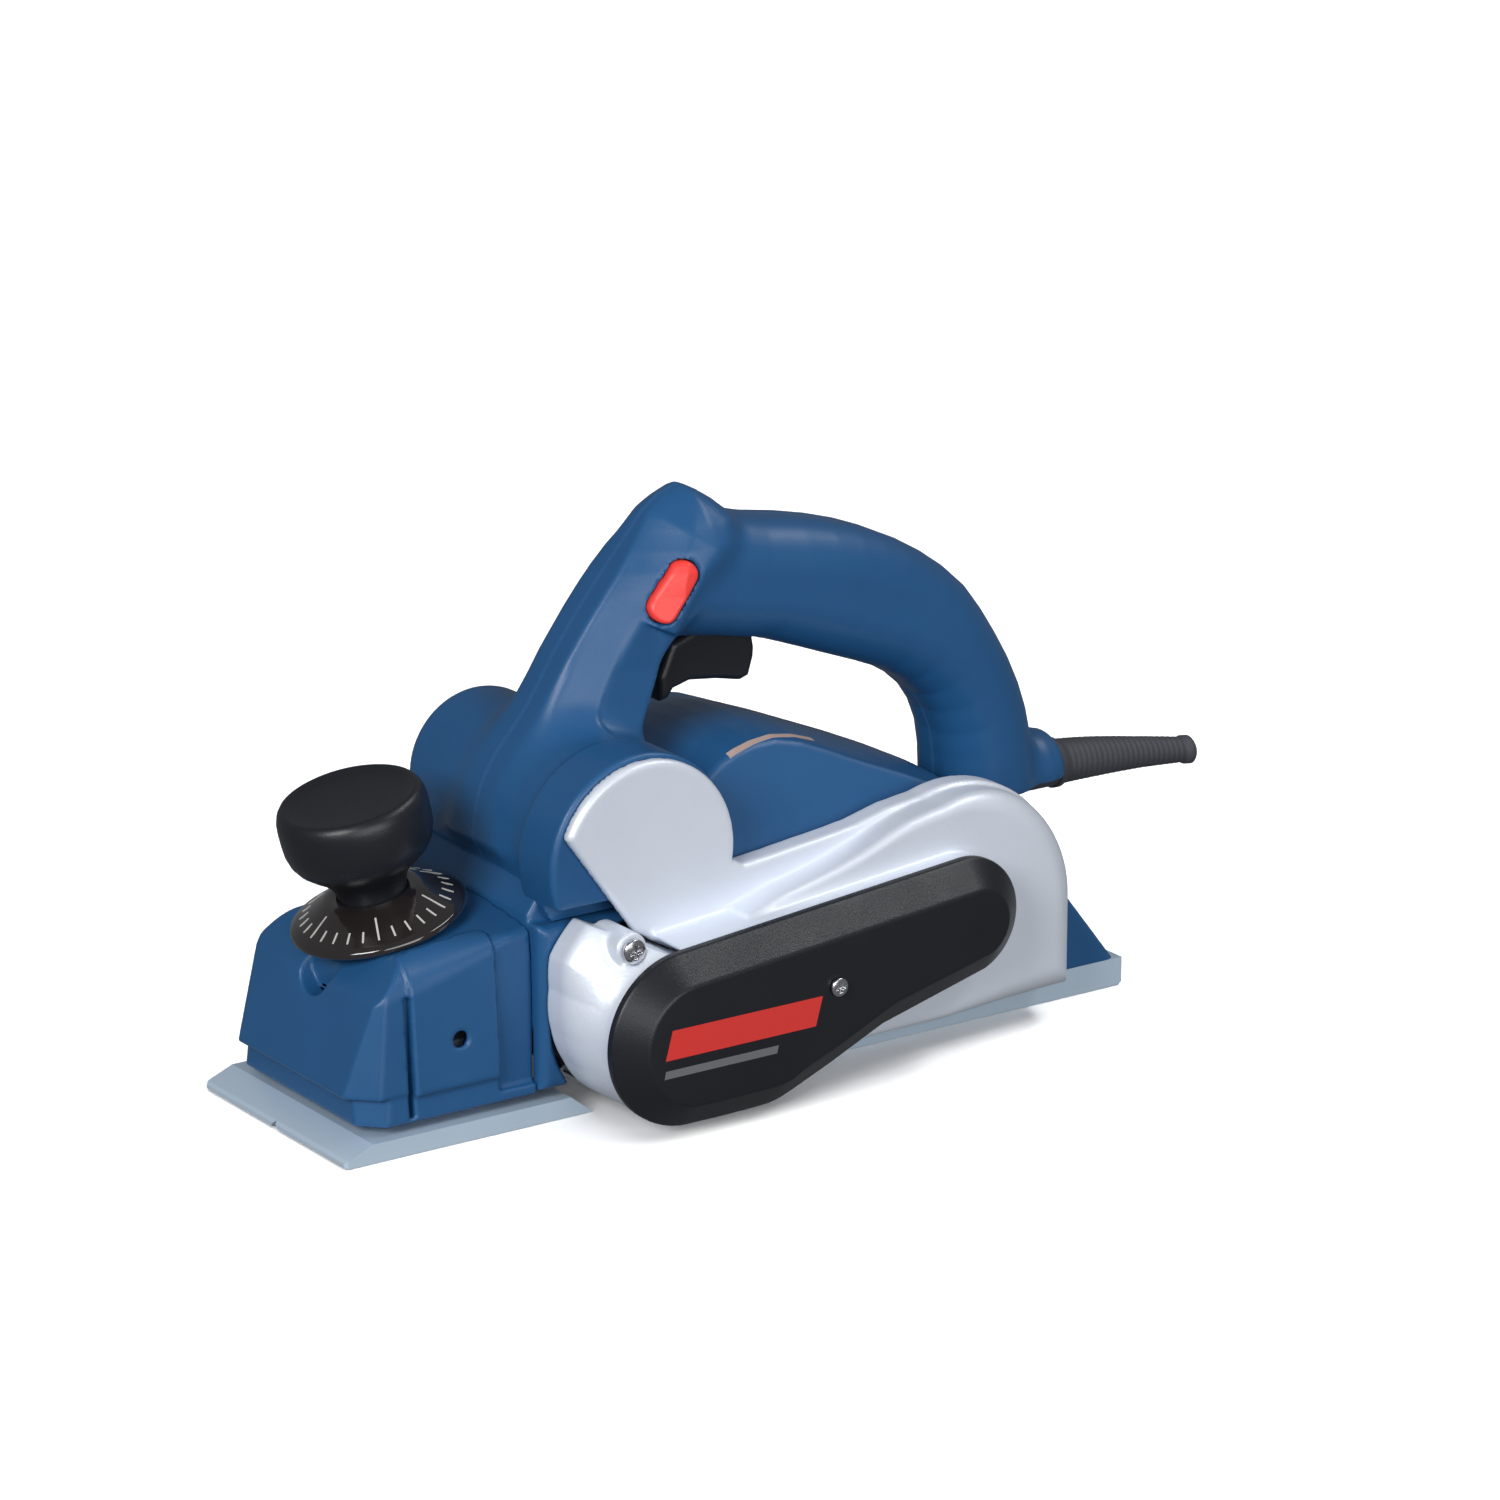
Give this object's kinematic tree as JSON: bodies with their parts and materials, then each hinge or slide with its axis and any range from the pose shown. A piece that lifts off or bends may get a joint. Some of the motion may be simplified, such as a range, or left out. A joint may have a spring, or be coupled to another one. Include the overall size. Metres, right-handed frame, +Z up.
{
  "type": "electric hand planer",
  "caption": "Hand-held electric wood planer with a D-handle, trigger, belt-driven cutter drum under a side cover, front depth knob, sliding front shoe and flat rear sole.",
  "frame": {"origin": "on the rear sole's underside, midway along the 285 mm sole and on its centre line", "axes": "+X from the toe to the cord end, +Z up, -Y towards the belt cover side"},
  "size_m": [0.3435, 0.1304, 0.1748],
  "materials": {
    "blue_housing": "moulded blue plastic, fine satin grain",
    "cast_silver": "die-cast housing, silver-grey paint",
    "sole_aluminium": "machined aluminium sole with fine lengthwise marks",
    "drum_aluminium": "turned aluminium drum",
    "black_plastic": "black satin plastic",
    "gloss_black": "polished black scale ring",
    "red_plastic": "bright red plastic",
    "steel": "bright steel",
    "copper": "laminations and copper windings",
    "brass": "plain brass",
    "carbon": "pressed carbon",
    "rubber": "black rubber"
  },
  "bodies": {
    "root": {"rear_sole": "sole_aluminium", "front_housing": "blue_housing", "motor_housing": "blue_housing", "chip_barrel": "blue_housing", "handle_near": "blue_housing", "handle_far": "blue_housing", "side_plate": "cast_silver", "drum_housing": "cast_silver", "belt_cover": "black_plastic", "far_cover": "blue_housing", "drum_bearing_near": "steel", "drum_bearing_far": "steel", "motor_bearing_near": "steel", "motor_bearing_far": "steel", "stator_core": "copper", "carbon_brush_front": "carbon", "carbon_brush_rear": "carbon", "brush_holder_front": "brass", "brush_holder_rear": "brass", "drive_belt": "rubber", "switch_body": "black_plastic", "cord_sleeve": "rubber", "cord_clamp": "black_plastic", "sole_screw_1": "steel", "sole_screw_2": "steel", "sole_screw_3": "steel", "sole_screw_4": "steel", "far_cover_screw_1": "steel", "far_cover_screw_2": "steel", "far_cover_screw_3": "steel", "handle_screw_1": "steel", "handle_screw_2": "steel", "handle_screw_3": "steel", "drum_housing_screw": "steel", "side_plate_screw": "steel", "cover_screw": "steel"},
    "shoe": {"front_shoe": "sole_aluminium", "spindle_nut": "brass"},
    "knob": {"depth_knob": "black_plastic", "scale_ring": "gloss_black", "depth_spindle": "steel"},
    "drum": {"cutter_drum": "drum_aluminium", "blade_a": "steel", "blade_b": "steel", "blade_clamp_a": "steel", "blade_clamp_b": "steel", "clamp_screw_a1": "steel", "clamp_screw_a2": "steel", "clamp_screw_b1": "steel", "clamp_screw_b2": "steel", "drum_pulley": "steel"},
    "armature": {"motor_shaft": "steel", "armature_core": "copper", "commutator": "copper", "cooling_fan": "black_plastic", "motor_pulley": "steel"},
    "trigger": {"trigger": "black_plastic"},
    "button": {"lock_button": "red_plastic"}
  },
  "joints": [
    {"name": "shoe_lift", "type": "slide", "parent": "root", "child": "shoe", "axis": [-0.2419, 0, 0.9703], "range_m": [0, 0.0025]},
    {"name": "knob_turn", "type": "hinge", "parent": "root", "child": "knob", "pos_m": [-0.105, 0, 0.059], "axis": [-0.2419, 0, 0.9703], "range_deg": [-300, 0]},
    {"name": "motor_spin", "type": "hinge", "parent": "root", "child": "armature", "pos_m": [0.06, 0, 0.0465], "axis": [0, 1, 0], "continuous": true},
    {"name": "drum_spin", "type": "hinge", "parent": "root", "child": "drum", "pos_m": [-0.042, 0, 0.0283], "axis": [0, 1, 0], "continuous": true},
    {"name": "trigger_squeeze", "type": "hinge", "parent": "root", "child": "trigger", "pos_m": [0.022, 0, 0.126], "axis": [0, 1, 0], "range_deg": [0, 7], "stiffness_Nm_per_rad": 0.6, "springref_deg": -4.58},
    {"name": "lock_press", "type": "slide", "parent": "root", "child": "button", "axis": [0, 1, 0], "range_m": [0, 0.003], "stiffness_N_per_m": 900, "springref_m": -0.002}
  ],
  "couplings": [
    {"joint": "knob_turn", "follows": "shoe_lift", "rad_per_m": -2094.4},
    {"joint": "drum_spin", "follows": "motor_spin", "ratio": 0.6}
  ]
}
